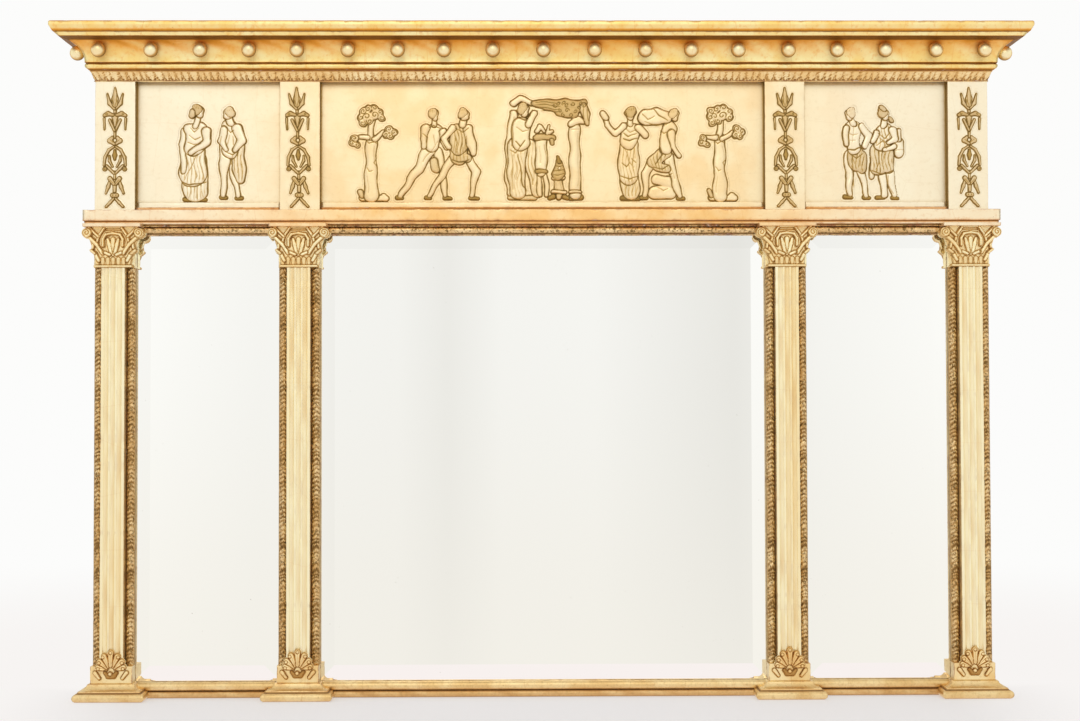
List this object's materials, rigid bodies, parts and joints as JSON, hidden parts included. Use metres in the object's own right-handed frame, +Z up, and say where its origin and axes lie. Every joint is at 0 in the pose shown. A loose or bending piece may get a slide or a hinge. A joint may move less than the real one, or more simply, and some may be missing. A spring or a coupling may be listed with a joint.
{
  "type": "overmantel mirror",
  "caption": "Low wide chimney glass: bevelled plates in a gilded frame with pilasters, a carved frieze and a ball cornice; two hanging rings behind.",
  "frame": {"origin": "on the shelf, under the middle of the object's box", "axes": "+X to the right along the frame, +Y to the wall, +Z up; the plates face -Y"},
  "size_m": [1.45, 0.0978, 1],
  "materials": {
    "gilding": "water gilding on gesso over pine, burnished and worn",
    "pine": "bare aged softwood",
    "silvered_glass": "silvered plate glass, ground and polished bevel",
    "steel": "dull, lightly rusted"
  },
  "bodies": {
    "frame": {"frieze_board": "gilding", "frieze_die_1": "gilding", "frieze_die_2": "gilding", "frieze_die_3": "gilding", "frieze_die_4": "gilding", "frieze_sill": "gilding", "frieze_figures_left": "gilding", "frieze_figures_centre": "gilding", "frieze_figures_right": "gilding", "die_ornaments": "gilding", "architrave_front": "gilding", "architrave_returns": "gilding", "leaf_moulding": "gilding", "cornice_front": "gilding", "cornice_returns": "gilding", "cornice_top_board": "gilding", "cornice_balls": "gilding", "capital_1": "gilding", "capital_2": "gilding", "capital_3": "gilding", "capital_4": "gilding", "pilaster_shaft_1": "gilding", "pilaster_shaft_2": "gilding", "pilaster_shaft_3": "gilding", "pilaster_shaft_4": "gilding", "leaf_slips_1": "gilding", "leaf_slips_2": "gilding", "leaf_slips_3": "gilding", "leaf_slips_4": "gilding", "anthemion_block_1": "gilding", "anthemion_block_2": "gilding", "anthemion_block_3": "gilding", "anthemion_block_4": "gilding", "plinth_1": "gilding", "plinth_2": "gilding", "plinth_3": "gilding", "plinth_4": "gilding", "base_rail_left": "gilding", "base_rail_centre": "gilding", "base_rail_right": "gilding", "top_slips": "gilding", "outer_stile_left": "pine", "inner_stile_left": "pine", "inner_stile_right": "pine", "outer_stile_right": "pine", "bottom_rail": "pine", "middle_rail": "pine", "top_rail": "pine", "frieze_battens": "pine", "glazing_blocks": "pine", "backboards": "pine", "mirror_plate_left": "silvered_glass", "mirror_plate_centre": "silvered_glass", "mirror_plate_right": "silvered_glass", "backboard_pins": "steel", "hanger_straps": "steel", "hanger_screws": "steel"},
    "ring_left": {"hanger_ring_left": "steel"},
    "ring_right": {"hanger_ring_right": "steel"}
  },
  "joints": [
    {"name": "ring_left_swing", "type": "hinge", "parent": "frame", "child": "ring_left", "pos_m": [-0.646, 0.04528, 0.66], "axis": [1, 0, 0], "range_deg": [0, 180]},
    {"name": "ring_right_swing", "type": "hinge", "parent": "frame", "child": "ring_right", "pos_m": [0.646, 0.04528, 0.66], "axis": [1, 0, 0], "range_deg": [0, 180]}
  ]
}
